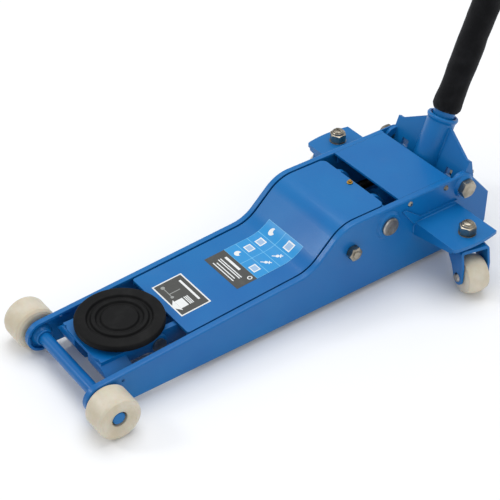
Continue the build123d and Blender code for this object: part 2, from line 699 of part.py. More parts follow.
def handle_grip():
    grip = rod_z(GRIP_R, GRIP_START, HANDLE_END, 0, 0)
    grip -= rod_z(HANDLE_R, GRIP_START - 10, HANDLE_END - 4, 0, 0)
    return leaned(fillet(grip.edges().sort_by(Axis.Z)[-1:], 5))


def coupling_rod():
    """Square-ended rod that turns the release valve with the handle."""
    rod = rod_z(4, -4, HANDLE_LOW, 0, 0)
    return leaned(rod + rod_z(HANDLE_R - HANDLE_WALL, HANDLE_LOW, HANDLE_LOW + 10, 0, 0))


# ---------------------------------------------------------------- casters

def caster_bracket():
    """Pressed ear welded to the side plate, with a front and an upper flange."""
    edge = Polyline((163.5, 588), (PLATE_OUT, 588), (PLATE_OUT, 510), (163.5, 510))
    edge += ThreePointArc((163.5, 510), (168.0, 549), (163.5, 588))
    ear = extrude(Pos(0, 0, EAR_TOP - EAR_T) * make_face(edge), EAR_T, dir=(0, 0, 1))
    flange = polygon((PLATE_OUT, EAR_TOP - EAR_T), (158, EAR_TOP - EAR_T), (156, 76), (PLATE_OUT, 63))
    ear += extrude(Plane.XZ.offset(-515) * flange, 5, dir=(0, -1, 0))
    tab = polygon((486, 112), (491, 113), (520, EAR_TOP + 6), (588, EAR_TOP + 6), (588, 80), (510, 80))
    ear += slab(tab, PLATE_OUT, PLATE_OUT + 3)
    corner = ear.edges().filter_by(Axis.Z).sort_by_distance((163.5, 510, EAR_TOP))[0]
    ear = fillet([corner], 5)
    return ear - rod_z(STUD_R, 70, 100, STUD_X, STUD_Y)


def caster_stud():
    shank = rod_z(STUD_R, 66, STUD_TOP, STUD_X, STUD_Y)
    return shank + rod_z(11, 61, 66, STUD_X, STUD_Y)


def caster_nut():
    nut = hexagon_z(22, EAR_TOP, 98.5, STUD_X, STUD_Y) & turned_z(
        [(0, EAR_TOP - 1), (13, EAR_TOP - 1), (13, 97.5), (11.5, 98.5), (0, 98.5)], STUD_X, STUD_Y)
    collar = rod_z(9.3, 98.5, 101.5, STUD_X, STUD_Y)
    return nut + collar - rod_z(STUD_R, 70, 110, STUD_X, STUD_Y)


def caster_fasteners():
    return [caster_stud(), caster_nut()]


def caster_bearing():
    ring = rod_z(19, BEARING_LOW, EAR_TOP - EAR_T, STUD_X, STUD_Y)
    return ring - rod_z(STUD_R, 60, 100, STUD_X, STUD_Y)


def placed_caster(shape):
    """Place a caster part drawn about its swivel axis, trailing along +X."""
    return Pos(STUD_X, STUD_Y, 0) * Rot(0, 0, TRAIL_ANGLE) * shape


def caster_fork():
    top = BEARING_LOW - GAP
    outline = polygon((-19, top), (25, top), (31, 48), (TRAIL + 11, CASTER_R), (TRAIL - 11, CASTER_R),
                      (2, 40), (-14, 58))
    outline += Pos(TRAIL, CASTER_R) * Circle(11)
    arch = extrude(Plane.XZ * outline, FORK_HALF, both=True)
    arch = fillet(arch.edges().filter_by(Axis.X).sort_by(Axis.Z)[-2:], 5)
    inside = block(-60, 60, -FORK_HALF + 3.5, FORK_HALF - 3.5, 0, top - 4.5)
    fork = arch - inside
    fork -= rod_z(STUD_R + FIT, 40, 90, 0, 0)
    return placed_caster(fork - rod_y(CASTER_AXLE_R, -60, 60, TRAIL, CASTER_R))


def caster_axle():
    pin = rod_y(CASTER_AXLE_R, -FORK_HALF, FORK_HALF, TRAIL, CASTER_R)
    for side in (-1, 1):
        head = Rot(-90 * side, 0, 0) * Cone(7, 5, 2.8, align=LOW_END)
        pin += Pos(TRAIL, side * FORK_HALF, CASTER_R) * head
    return placed_caster(pin)


def caster_wheel():
    half = CASTER_HALF
    bore = CASTER_AXLE_R + FIT
    profile = Polyline((bore, -half), (17, -half), (24.0, -half + 1.5))
    profile += ThreePointArc((24.0, -half + 1.5), (CASTER_R, 0), (24.0, half - 1.5))
    profile += Polyline((24.0, half - 1.5), (17, half), (bore, half), (bore, -half))
    tyre = revolve(Plane.XZ * make_face(profile), Axis.Z)
    return placed_caster(Pos(TRAIL, 0, CASTER_R) * Rot(90, 0, 0) * tyre)


# ---------------------------------------------------------------- write the parts

def save_pair(name, shape):
    """Write the +X part and its mirror image."""
    save(f"{name}_right", shape)
    save(f"{name}_left", mirrored(shape))


def main():
    os.makedirs("parts", exist_ok=True)
    save_pair("side_plate", side_plate())
    save("rear_cover", rear_cover())
    save("frame_screws", *cover_screws(), *block_screws())
    save("tie_bars", *[tie_bar(y, z) for y, z in TIE_BARS])
    save("front_axle", front_axle())
    save("axle_circlips", *axle_circlips())
    save("axle_spacers", *axle_spacers())
    save_pair("front_wheel", front_wheel())

    save("arm_cover", arm_cover())
    save("grease_nipple", grease_nipple())
    save_pair("arm_cheek", arm_cheek())
    save("arm_cross_plate", arm_cross_plate())
    save("arm_pivot_tube", arm_pivot_tube())
    save("arm_pivot_shaft", arm_pivot_shaft())
    save("shaft_spacers", *shaft_spacers())
    save("heel_pin", heel_pin())

    save("link_bar", link_bar())
    save("link_bolt", link_bolt(), link_bolt_nut())
    save("link_sleeves", *link_sleeves())

    save("saddle_bracket", saddle_bracket())
    save("saddle_pins", *saddle_pins())
    save("link_front_pin", link_front_pin())
    save("saddle_cup", saddle_cup())
    save("saddle_pad", saddle_pad())

    save("ram_head", ram_head())
    save("ram_rod", ram_rod())
    save("ram_piston", ram_piston())
    save("ram_cylinder", ram_cylinder())
    save("cylinder_gland", cylinder_gland())
    save("pump_block", pump_block())
    save("filler_plug", filler_plug())
    save("rear_cross_plate", rear_cross_plate())
    save("return_springs", *return_springs())
    save("pump_plunger", pump_plunger())
    save("pump_spring", pump_spring())
    save("release_valve", release_valve())

    save("handle_yoke", handle_yoke())
    save("yoke_roller", yoke_roller())
    save("roller_pin", roller_pin())
    save("yoke_bush", yoke_bush())
    save("yoke_bolts", *yoke_bolts())
    save("handle_lower_tube", handle_lower_tube())
    save("handle_upper_tube", handle_upper_tube())
    save("handle_screw", handle_screw())
    save("foam_sleeve", foam_sleeve())
    save("handle_grip", handle_grip())
    save("coupling_rod", coupling_rod())

    save_pair("caster_bracket", caster_bracket())
    save("caster_studs", *caster_fasteners(), *[mirrored(piece) for piece in caster_fasteners()])
    save("caster_bearings", caster_bearing(), mirrored(caster_bearing()))
    save_pair("caster_fork", caster_fork())
    save_pair("caster_axle", caster_axle())
    save_pair("caster_wheel", caster_wheel())


main()
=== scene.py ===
# %% [markdown]
# # A low trolley jack, finished around its working frame
#
# The frame already holds every part of the jack at its real size. This
# lesson gives those parts their finishes and adds what plain solids can't show:
# chamfered nuts, coiled springs, weld beads, printed labels, the rubber saddle
# pad and the soft foam sleeve on the handle.

# %% Load the frame
import json
import math

import bpy
from mathutils import Matrix, Vector


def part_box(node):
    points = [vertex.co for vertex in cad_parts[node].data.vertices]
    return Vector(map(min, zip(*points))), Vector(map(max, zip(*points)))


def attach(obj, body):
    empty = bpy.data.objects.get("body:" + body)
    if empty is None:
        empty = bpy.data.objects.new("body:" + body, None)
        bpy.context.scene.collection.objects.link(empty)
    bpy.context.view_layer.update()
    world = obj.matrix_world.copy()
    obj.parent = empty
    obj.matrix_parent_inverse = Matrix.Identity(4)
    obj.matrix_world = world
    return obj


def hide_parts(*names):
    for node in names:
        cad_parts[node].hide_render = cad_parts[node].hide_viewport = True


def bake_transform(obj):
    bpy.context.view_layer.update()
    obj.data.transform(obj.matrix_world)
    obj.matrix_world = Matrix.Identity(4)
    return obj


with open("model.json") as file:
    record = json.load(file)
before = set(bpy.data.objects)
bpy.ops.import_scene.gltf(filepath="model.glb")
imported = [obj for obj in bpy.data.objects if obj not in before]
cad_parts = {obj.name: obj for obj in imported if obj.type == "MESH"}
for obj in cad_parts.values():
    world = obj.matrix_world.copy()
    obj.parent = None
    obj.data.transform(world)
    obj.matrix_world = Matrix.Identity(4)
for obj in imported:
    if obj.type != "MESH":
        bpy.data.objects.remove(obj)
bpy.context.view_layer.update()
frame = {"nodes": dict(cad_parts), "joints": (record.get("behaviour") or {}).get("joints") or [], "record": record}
nodes = frame["nodes"]
joints = {joint["name"]: joint for joint in frame["joints"]}
MM = 0.001

# %% [markdown]
# ## Sums for shaders
#
# A finish is a small calculation: noise becomes a mask, and the mask mixes two
# colours. Written as node calls that is hard to read. A class that wraps a
# socket and overloads the operators lets us write `1 - mask`, and the Math
# nodes are added for us.

# %% A value in a node tree
class Value:
    """One number or colour in a finish. Arithmetic on it adds Math nodes."""

    def __init__(self, finish, socket):
        self.finish = finish
        self.socket = socket

    def math(self, operation, *values):
        return self.finish.node("ShaderNodeMath", {"operation": operation}, dict(enumerate(values)))

    def __add__(self, other):
        return self.math("ADD", self, other)

    def __sub__(self, other):
        return self.math("SUBTRACT", self, other)

    def __rsub__(self, other):
        return self.math("SUBTRACT", other, self)

    def __mul__(self, other):
        return self.math("MULTIPLY", self, other)

    def __abs__(self):
        return self.math("ABSOLUTE", self)

    __radd__ = __add__
    __rmul__ = __mul__

    def below(self, edge):
        return self.math("LESS_THAN", self, edge)

    def larger(self, other):
        return self.math("MAXIMUM", self, other)

    def fraction(self):
        return self.math("FRACT", self)

    def ramp(self, low, high):
        """0 up to low, 1 from high on, and smooth in between."""
        settings = {"interpolation_type": "SMOOTHSTEP"}
        return self.finish.node("ShaderNodeMapRange", settings, {0: self, 1: low, 2: high})


# %% [markdown]
# A finish is a material with one surface shader. Its `node` method makes the
# node's choices first and then fills its sockets with numbers or links. Noise
# reads object coordinates, which here are real metres on the jack, so a scale
# of 900 is a grain of about a millimetre on every part.
#
# The Bevel node looks at the surface around a point and gives a direction that
# is rounded at sharp edges. It has two uses: as a normal it gives a pressed
# edge its thin highlight, and compared with the true normal it finds the edges,
# which is where paint wears and where the enamel also gets a painted highlight.

# %% A finish
class Finish:
    """A material being put together from nodes."""

    def __init__(self, name):
        self.material = bpy.data.materials.new(name)
        self.material.use_nodes = True
        self.tree = self.material.node_tree
        self.tree.nodes.clear()
        self.place = self.node("ShaderNodeTexCoord", output="Object")

    def node(self, kind, settings=None, inputs=None, output=0):
        made = self.tree.nodes.new(kind)
        for key, value in (settings or {}).items():
            setattr(made, key, value)
        for key, value in (inputs or {}).items():
            if isinstance(value, Value):
                self.tree.links.new(value.socket, made.inputs[key])
            else:
                made.inputs[key].default_value = value
        return Value(self, made.outputs[output]) if made.outputs else None

    def noise(self, scale, detail=3.0, roughness=0.55, vector=None):
        inputs = {"Vector": vector or self.place, "Scale": scale, "Detail": detail, "Roughness": roughness}
        return self.node("ShaderNodeTexNoise", None, inputs)

    def stretched(self, x=1.0, y=1.0, z=1.0):
        """The coordinates, scaled along each axis."""
        return self.node("ShaderNodeMapping", None, {"Vector": self.place, "Scale": (x, y, z)})

    def axis(self, letter, vector=None):
        return self.node("ShaderNodeSeparateXYZ", None, {0: vector or self.place}, "XYZ".index(letter))

    def mix(self, factor, first, second):
        inputs = {0: factor, 6: first, 7: second}
        return self.node("ShaderNodeMix", {"data_type": "RGBA"}, inputs, 2)

    def rounded(self, radius):
        return self.node("ShaderNodeBevel", {"samples": 6}, {"Radius": radius})

    def edges(self, rounded):
        """1 on a sharp edge, 0 on a face."""
        straight = self.node("ShaderNodeNewGeometry", output="Normal")
        inputs = {0: rounded, 1: straight}
        alike = self.node("ShaderNodeVectorMath", {"operation": "DOT_PRODUCT"}, inputs, "Value")
        return (1.0 - alike).ramp(0.01, 0.14)

    def bump(self, height, distance, normal=None):
        inputs = {"Height": height, "Distance": distance}
        if normal:
            inputs["Normal"] = normal
        return self.node("ShaderNodeBump", None, inputs)

    def surface(self, **sockets):
        """Close the material; an underscore in a name stands for a space."""
        inputs = {name.replace("_", " "): value for name, value in sockets.items()}
        shader = self.node("ShaderNodeBsdfPrincipled", None, inputs)
        self.node("ShaderNodeOutputMaterial", None, {"Surface": shader})
        return self.material


def tone(red, green, blue):
    """A colour as a designer names it, 0 to 255, turned into light."""
    parts = [channel / 255 for channel in (red, green, blue)]
    light = [c / 12.92 if c < 0.04045 else ((c + 0.055) / 1.055) ** 2.4 for c in parts]
    return (*light, 1.0)


# %% [markdown]
# ## Paint
#
# The jack is dipped or sprayed in one thick blue enamel after welding. Three
# things make sprayed enamel look real: the tone drifts a little over a hand's
# width, the skin has a fine orange peel, and handling rubs the edges thin until
# a paler blue, then grey primer, shows. That paler blue on the edges is also a
# painted highlight, standing in for the bright lines that light draws along
# them. A casting's paint lies over a coarser skin, so the same recipe takes the
# grain as an argument.

# %% Blue enamel
BLUE = tone(5, 108, 173)
DEEP_BLUE = tone(3, 98, 166)
RUBBED_AND_HIGHLIT_BLUE = tone(96, 158, 214)
PRIMER = tone(150, 152, 150)
DUST = tone(110, 144, 176)


def enamel(name, grain=380.0, depth=0.05, wear_and_highlight=1.0):
    finish = Finish(name)
    rounded = finish.rounded(0.8 * MM)
    edge = finish.edges(rounded)
    drift = finish.noise(7.0, 3.0)
    smear = finish.noise(26.0, 5.0, 0.65)
    spots = finish.noise(230.0, 4.0, 0.7)
    peel = finish.noise(grain, 2.0)
    # Rubbed edges turn paler blue: partly rubbed paint, and partly a painted highlight along every edge.
    rubbed_and_highlit_edge = edge * smear.ramp(0.35, 0.75) * wear_and_highlight
    chip = edge * spots.ramp(0.60, 0.66) * smear.ramp(0.45, 0.6) * wear_and_highlight
    nick = finish.noise(120.0, 1.0).ramp(0.80, 0.83) * smear.ramp(0.52, 0.62)
    dusty = smear.ramp(0.55, 0.95) * 0.09
    colour = finish.mix(drift.ramp(0.3, 0.72), BLUE, DEEP_BLUE)
    colour = finish.mix(dusty, colour, DUST)
    colour = finish.mix(rubbed_and_highlit_edge * 0.55, colour, RUBBED_AND_HIGHLIT_BLUE)
    colour = finish.mix(chip + nick * 0.7, colour, PRIMER)
    rough = 0.27 + smear * 0.16 + chip * 0.3 + dusty * 0.5
    skin = peel * 1.0 + smear * 2.0 - (chip + nick) * 1.5
    normal = finish.bump(skin, depth * MM, rounded)
    return finish.surface(Base_Color=colour, Roughness=rough, Normal=normal, Coat_Weight=0.12,
                          Coat_Roughness=0.10, Specular_IOR_Level=0.30)


paint = enamel("blue_enamel")
cast_paint = enamel("enamel_on_casting", grain=240.0, depth=0.16, wear_and_highlight=0.7)
print("paint:", paint.name, cast_paint.name)

# %% [markdown]
# ## Metals
#
# Bolts and nuts are zinc plated: bright, slightly warm, with cloudy patches.
# Pins and rods are bare turned steel, with fine rings left by the tool.
# Springs are dark oiled wire. All use full metallic shading, so
# their look comes from roughness and from what they reflect.

# %% Zinc, steel, wire and brass
def metal(name, light, dark, rough, lines=(1.0, 1.0, 1.0), scale=900.0, depth=0.01, rust=0.0):
    finish = Finish(name)
    rounded = finish.rounded(0.4 * MM)
    edge = finish.edges(rounded)
    cloud = finish.noise(55.0, 5.0, 0.6)
    lay = finish.noise(scale, 2.0, 0.6, finish.stretched(*lines))
    colour = finish.mix(cloud.ramp(0.35, 0.7), light, dark)
    colour = finish.mix(edge * 0.5, colour, light)
    colour = finish.mix(finish.noise(90.0, 6.0, 0.7).ramp(0.62, 0.75) * rust, colour, tone(96, 66, 44))
    roughness = rough + cloud * 0.18 + lay * 0.10
    normal = finish.bump(lay + cloud, depth * MM, rounded)
    return finish.surface(Base_Color=colour, Metallic=1.0, Roughness=roughness, Normal=normal)


zinc = metal("zinc_plate", tone(178, 170, 154), tone(118, 111, 99), 0.16, rust=0.3)
steel = metal("turned_steel", tone(172, 168, 162), tone(116, 113, 108), 0.16, lines=(6.0, 0.4, 0.4))
wire = metal("oiled_wire", tone(72, 70, 68), tone(36, 34, 32), 0.3, rust=0.4)
brass = metal("brass", tone(226, 182, 96), tone(168, 126, 58), 0.2)
print("metals:", zinc.name, steel.name, wire.name, brass.name)

# %% [markdown]
# ## Nylon and rubber
#
# The rollers and casters are cast nylon, ivory and slightly see-through, so a
# little light travels under the surface. They pick up brown dirt round the
# tread and scuffs across it. Rubber and foam are nearly black and never gloss;
# what shows on them is dust and grain.

# %% Nylon, rubber and foam
def nylon():
    finish = Finish("ivory_nylon")
    rounded = finish.rounded(0.7 * MM)
    edge = finish.edges(rounded)
    cloud = finish.noise(30.0, 4.0, 0.6)
    scuff = finish.noise(520.0, 3.0, 0.7, finish.stretched(0.25, 1.0, 1.0))
    speck = finish.noise(240.0, 4.0, 0.7).ramp(0.66, 0.74)
    colour = finish.mix(cloud.ramp(0.3, 0.75), tone(212, 204, 186), tone(198, 186, 160))
    colour = finish.mix(speck * 0.45, colour, tone(150, 124, 84))
    colour = finish.mix(edge * 0.35, colour, tone(190, 166, 122))
    colour = finish.mix(scuff.ramp(0.62, 0.8) * 0.18, colour, tone(140, 124, 100))
    rough = 0.36 + cloud * 0.14 + speck * 0.2
    normal = finish.bump(scuff + cloud * 2.0, 0.04 * MM, rounded)
    return finish.surface(Base_Color=colour, Roughness=rough, Normal=normal, Subsurface_Weight=0.18,
                          Subsurface_Scale=0.004, IOR=1.5)


def rubber(name, black, dust, grain, depth, rough):
    finish = Finish(name)
    rounded = finish.rounded(0.8 * MM)
    edge = finish.edges(rounded)
    cloud = finish.noise(38.0, 5.0, 0.65)
    fine = finish.noise(grain, 3.0, 0.65)
    dusty = cloud.ramp(0.45, 0.8) * 0.3 + edge * 0.35
    colour = finish.mix(dusty, black, dust)
    normal = finish.bump(fine + cloud, depth * MM, rounded)
    return finish.surface(Base_Color=colour, Roughness=rough + fine * 0.15, Normal=normal,
                          Specular_IOR_Level=0.14)


def foam():
    finish = Finish("black_foam")
    cells = finish.node("ShaderNodeTexVoronoi", None, {"Vector": finish.place, "Scale": 950.0})
    cloud = finish.noise(45.0, 4.0, 0.6)
    crease = finish.noise(60.0, 3.0, 0.6, finish.stretched(1.0, 0.5, 0.35))
    colour = finish.mix(cloud.ramp(0.4, 0.8), tone(9, 9, 11), tone(24, 24, 26))
    rough = 0.82 + cells * 0.15
    height = cells * 0.6 + crease * 1.6
    normal = finish.bump(height, 0.35 * MM)
    return finish.surface(Base_Color=colour, Roughness=rough, Normal=normal, Sheen_Weight=0.1,
                          Sheen_Roughness=0.5, Specular_IOR_Level=0.15)


ivory = nylon()
pad_rubber = rubber("saddle_rubber", tone(11, 11, 11), tone(46, 46, 45), 1400.0, 0.05, 0.5)
grip_rubber = rubber("grip_rubber", tone(12, 12, 13), tone(36, 36, 37), 900.0, 0.12, 0.6)
soft_foam = foam()
print("soft finishes:", ivory.name, pad_rubber.name, grip_rubber.name, soft_foam.name)

# %% [markdown]
# Every part of the frame names a slot in the parts list. The slot tells us
# which of the finishes it gets, so nobody has to list sixty parts by hand. A
# few parts are then picked out by name where their finish differs.

# %% Finish the frame
finish_of_slot = {
    "blue_paint": paint, "cast_body": cast_paint, "bare_steel": steel, "zinc_fastener": zinc,
    "dark_steel": wire, "brass": brass, "nylon_wheel": ivory, "black_rubber": grip_rubber,
    "black_foam": soft_foam,
}
castings = ("saddle_bracket", "saddle_cup", "caster_fork_left", "caster_fork_right")


def dress(part, finish):
    part.data.materials.clear()
    part.data.materials.append(finish)


for subpart in frame["record"]["subparts"]:
    name = subpart["node"]
    finish = cast_paint if name in castings else finish_of_slot[subpart["material_slot"]]
    dress(nodes[name], finish)

# %% [markdown]
# ## Tools for modelling
#
# Most small pieces of a jack are turned: pins, washers, studs, bushes.
# `turned` works as a lathe does. It starts from a circle and draws out one ring
# after another, each at its own radius. A nut is a hexagonal bar cut by a
# turned shape, which is also how the curved chamfers on a real nut come about.

# %% Lathe and hexagon
def pick(*pieces):
    bpy.ops.object.select_all(action="DESELECT")
    for piece in pieces:
        piece.select_set(True)
    bpy.context.view_layer.objects.active = pieces[0]


def settle(piece, smooth=35):
    """Put the object's own placing into its mesh and shade it."""
    pick(piece)
    bpy.ops.object.transform_apply(location=True, rotation=True, scale=True)
    bpy.ops.object.shade_smooth_by_angle(angle=math.radians(smooth))
    return piece


def apply(piece, kind, **settings):
    """Add a modifier and apply it."""
    pick(piece)
    modifier = piece.modifiers.new(kind.lower(), kind)
    for key, value in settings.items():
        setattr(modifier, key, value)
    bpy.ops.object.modifier_apply(modifier=modifier.name)
    return piece


def turned(name, profile, sides=64, ring=False):
    """Turn (radius, height) steps about the vertical; a ring's last step meets its first."""
    bpy.ops.object.select_all(action="DESELECT")
    radius, height = profile[0]
    fill = "NOTHING" if ring else "NGON"
    bpy.ops.mesh.primitive_circle_add(vertices=sides, radius=radius, location=(0, 0, 0), fill_type=fill)
    piece = bpy.context.object
    piece.name = name
    bpy.ops.object.mode_set(mode="EDIT")
    bpy.ops.mesh.select_all(action="SELECT")
    bpy.ops.transform.translate(value=(0, 0, height))
    steps = profile[1:] + (profile[:1] if ring else [])
    for next_radius, next_height in steps:
        bpy.ops.mesh.extrude_region_move(TRANSFORM_OT_translate={"value": (0, 0, next_height - height)})
        share = next_radius / radius
        bpy.ops.transform.resize(value=(share, share, 1), center_override=(0, 0, next_height))
        radius, height = next_radius, next_height
    bpy.ops.mesh.select_all(action="SELECT")
    bpy.ops.mesh.remove_doubles(threshold=1e-6)
    bpy.ops.mesh.normals_make_consistent(inside=False)
    bpy.ops.object.mode_set(mode="OBJECT")
    return piece


def hexagon(name, flats, low, high, bottom_chamfer=False):
    """A hexagonal head or nut with turned chamfers, standing on low."""
    height = high - low
    corner = flats / math.sqrt(3)
    bpy.ops.object.select_all(action="DESELECT")
    middle = (0, 0, (low + high) / 2)
    bpy.ops.mesh.primitive_cylinder_add(vertices=6, radius=corner, depth=height, location=middle)
    piece = bpy.context.object
    piece.name = name
    settle(piece)
    face = flats * 0.46
    clear = corner * 1.01
    sliver = 0.01 * MM
    drop = (corner - face) * math.tan(math.radians(30))
    foot = face if bottom_chamfer else clear
    cutter = turned("cutter", [(foot, low - sliver), (clear, low + drop), (clear, high - drop),
                               (face, high + sliver)], 96)
    apply(piece, "BOOLEAN", operation="INTERSECT", object=cutter, solver="EXACT")
    bpy.data.objects.remove(cutter)
    return piece


def block(name, size, at):
    bpy.ops.object.select_all(action="DESELECT")
    bpy.ops.mesh.primitive_cube_add(size=1, location=at)
    piece = bpy.context.object
    piece.name = name
    piece.scale = size
    return settle(piece)


def joined(name, pieces):
    pick(*pieces)
    bpy.ops.object.join()
    pieces[0].name = name
    return pieces[0]


def placed(piece, at, toward=(0, 0, 1)):
    """Turn the piece's own upward axis towards a direction and move it."""
    turn = Vector((0, 0, 1)).rotation_difference(Vector(toward)).to_matrix().to_4x4()
    piece.matrix_world = Matrix.Translation(Vector(at)) @ turn
    return piece


def ready(piece, finish, body, slot, *stands_for, smooth=35):
    """Settle a piece, give it its finish and hang it on its body."""
    settle(piece, smooth)
    dress(piece, finish)
    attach(piece, body)
    if stands_for:
        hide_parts(*stands_for)
    size = piece.dimensions / MM
    print(f"{piece.name}: {len(piece.data.polygons)} faces, {size.x:.0f} x {size.y:.0f} x {size.z:.0f} mm")
    return piece


def bead_profile(radius, length, ripples):
    """A weld bead is a row of frozen ripples, thin at both ends."""
    steps = []
    for index in range(2 * ripples + 1):
        share = index / (2 * ripples)
        swell = 1.0 if index % 2 else 0.86
        taper = min(1.0, 5 * share + 0.35, 5 * (1 - share) + 0.35)
        steps.append((radius * swell * taper, length * share))
    return steps


def bead(start, end, radius, ripple=2.6 * MM):
    """One weld bead between two points."""
    run = Vector(end) - Vector(start)
    ripples = max(3, round(run.length / ripple))
    piece = turned("bead", bead_profile(radius, run.length, ripples), 12)
    return placed(piece, start, run)


# %% [markdown]
# ## Saddle pad
#
# The pad is one moulded rubber disc: a flat outer ring that takes the load, and
# two shallow grooves that let water out and stop a sill from sliding. A lathe
# profile gives the grooves their true depth, so they show in every light, and a
# small bevel gives the soft lips that rubber has where it leaves the mould.

# %% Turn the pad
pad_low, pad_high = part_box("saddle_pad")
pad_r = (pad_high.x - pad_low.x) / 2
low, top = pad_low.z, pad_high.z
pad = turned("rubber_pad", [
    (pad_r - 2.2 * MM, low), (pad_r, low + 2.2 * MM),
    (pad_r, top - 3.0 * MM), (pad_r - 0.9 * MM, top - 0.9 * MM),
    (pad_r - 3.2 * MM, top), (44.4 * MM, top), (42.2 * MM, top - 3.6 * MM), (39.0 * MM, top - 3.6 * MM),
    (37.0 * MM, top - 0.4 * MM), (32.4 * MM, top - 0.4 * MM), (30.2 * MM, top - 3.8 * MM),
    (26.0 * MM, top - 3.8 * MM), (23.8 * MM, top - 1.0 * MM)], 128)
pad_centre = (pad_low + pad_high) / 2
placed(pad, (pad_centre.x, pad_centre.y, 0))
settle(pad)
apply(pad, "BEVEL", width=0.7 * MM, segments=3, limit_method="ANGLE", angle_limit=math.radians(25))
ready(pad, pad_rubber, "saddle", "black_rubber", "saddle_pad", smooth=50)

# %% [markdown]
# ## Foam sleeve and grip
#
# The sleeve is a foam tube pushed over the handle so that the handle doesn't
# mark the car. Foam is never a clean cylinder: it has slipped, it has been
# squeezed, and it swells at its cut ends. The lathe makes it in short steps of
# uneven radius, and a cloud texture then pushes the skin in and out by less
# than a millimetre.

# %% Foam sleeve
yoke_pivot = Vector(joints["handle_pump"]["pos_m"])
handle_axis = Vector(joints["handle_twist"]["axis"]).normalized()
TUBE_R = 16.0 * MM
FOAM_START, FOAM_END, FOAM_R = 81 * MM, 431 * MM, 21.4 * MM


def foam_profile():
    steps = 72
    outer = []
    for index in range(steps + 1):
        share = index / steps
        from_end = min(share, 1 - share) * (FOAM_END - FOAM_START)
        lip = min(1.0, math.sqrt(max(0.0, from_end) / (3 * MM)))
        swell = 0.30 * math.sin(share * 31) + 0.22 * math.sin(share * 67 + 1.3)
        slump = 0.9 * math.exp(-((share - 0.035) / 0.03) ** 2) - 0.8 * math.exp(-((share - 0.11) / 0.03) ** 2)
        radius = FOAM_R - 1.2 * MM + (swell + slump) * MM * 0.7
        height = FOAM_START + share * (FOAM_END - FOAM_START)
        outer.append((radius - (1 - lip) * 2.2 * MM, height))
    inner_r = TUBE_R + 0.8 * MM
    return outer + [(inner_r, FOAM_END - 0.5 * MM), (inner_r, FOAM_START + 0.5 * MM)]


sleeve = turned("foam_handle_sleeve", foam_profile(), 96, ring=True)
dents = bpy.data.textures.new("foam_dents", "CLOUDS")
dents.noise_scale = 18 * MM
apply(sleeve, "DISPLACE", texture=dents, strength=1.5 * MM, mid_level=0.5)
placed(sleeve, yoke_pivot, handle_axis)
ready(sleeve, soft_foam, "handle", "black_foam", "foam_sleeve", smooth=80)

# %% [markdown]
# The grip at the far end of the handle is a moulded rubber cap with finger
# grooves round it and a domed end. The grooves are steps in the same kind of
# profile.

# %% Ribbed grip
GRIP_START, GRIP_END, GRIP_R = 918 * MM, 1050 * MM, 19.0 * MM


def grip_profile():
    steps = [(TUBE_R + 0.3 * MM, GRIP_START), (GRIP_R, GRIP_START), (GRIP_R, GRIP_START + 6 * MM)]
    ribs = 13
    first, last = GRIP_START + 10 * MM, GRIP_END - 16 * MM
    for index in range(ribs):
        middle = first + (last - first) * index / (ribs - 1)
        steps += [(GRIP_R, middle - 2.6 * MM), (GRIP_R - 1.3 * MM, middle - 1.4 * MM),
                  (GRIP_R - 1.3 * MM, middle + 1.4 * MM), (GRIP_R, middle + 2.6 * MM)]
    for degrees in range(0, 90, 15):
        turn = math.radians(degrees)
        reach = 6 * MM
        steps.append((GRIP_R - reach * (1 - math.cos(turn)), GRIP_END - reach * (1 - math.sin(turn))))
    steps += [(GRIP_R - reach, GRIP_END), (5 * MM, GRIP_END), (4 * MM, GRIP_END - 1.2 * MM)]
    return steps


grip = turned("ribbed_grip", grip_profile(), 96)
placed(grip, yoke_pivot, handle_axis)
ready(grip, grip_rubber, "handle", "black_rubber", "handle_grip")

# %% [markdown]
# ## Nuts and bolts
#
# A nut looks like a nut because of its chamfer: the turned cone meets each flat
# in a curve. So each head is a hexagon cut by a lathe shape, and each thread
# end is a row of fine V grooves. The bolts that the frame holds as plain solids
# are replaced by these, at the same places and sizes.

# %% Bolt parts
def threaded(name, radius, low, high, plain=0.0, pitch=1.5 * MM):
    """A shank that is plain up to `plain` and threaded from there to its end."""
    steps = [(radius - 0.3 * MM, low), (radius, low + 0.3 * MM)]
    start = max(plain, low + 1 * MM)
    turns = max(2, round((high - 1 * MM - start) / pitch))
    for index in range(turns):
        height = start + index * pitch
        steps += [(radius, height), (radius - 0.55 * MM, height + pitch / 2)]
    steps += [(radius, start + turns * pitch), (radius - 1.0 * MM, high)]
    return turned(name, steps, 40)


def hex_bolt(flats, seat, head, radius, end):
    """Head from seat to head and shank back to end, all on the vertical axis."""
    pieces = [hexagon("head", flats, seat, head)]
    pieces.append(turned("face", [(flats * 0.44, head - 0.4 * MM), (flats * 0.44, head + 0.25 * MM),
                                  (flats * 0.40, head + 0.4 * MM)], 48))
    pieces.append(turned("shank", [(radius, end), (radius, seat + 1 * MM)], 40))
    return pieces


# %% [markdown]
# The yoke turns on two short M16 bolts, screwed into the side plates. The
# link's rear end turns on one long M12 bolt right across the frame, with its
# nut on the right. Each caster hangs from an M14 stud whose locking nut stands on top of
# the bracket with the end of the stud showing through its collar.

# %% Yoke bolts, link bolt and caster studs
def both_sides(build, at, toward_right):
    """The same bolt on the right and, turned round, on the left."""
    pieces = []
    for side in (-1, 1):
        for piece in build():
            place = (at[0] * side, at[1], at[2])
            toward = (toward_right[0] * side, toward_right[1], toward_right[2])
            pieces.append(placed(piece, place, toward))
    return pieces


yoke_bolts = joined("hex_yoke_bolts", both_sides(
    lambda: hex_bolt(flats=24 * MM, seat=83.5 * MM, head=93.1 * MM, radius=8 * MM, end=70.7 * MM),
    (0, yoke_pivot.y, yoke_pivot.z), (1, 0, 0)))
ready(yoke_bolts, zinc, "frame", "zinc_fastener", "yoke_bolts")

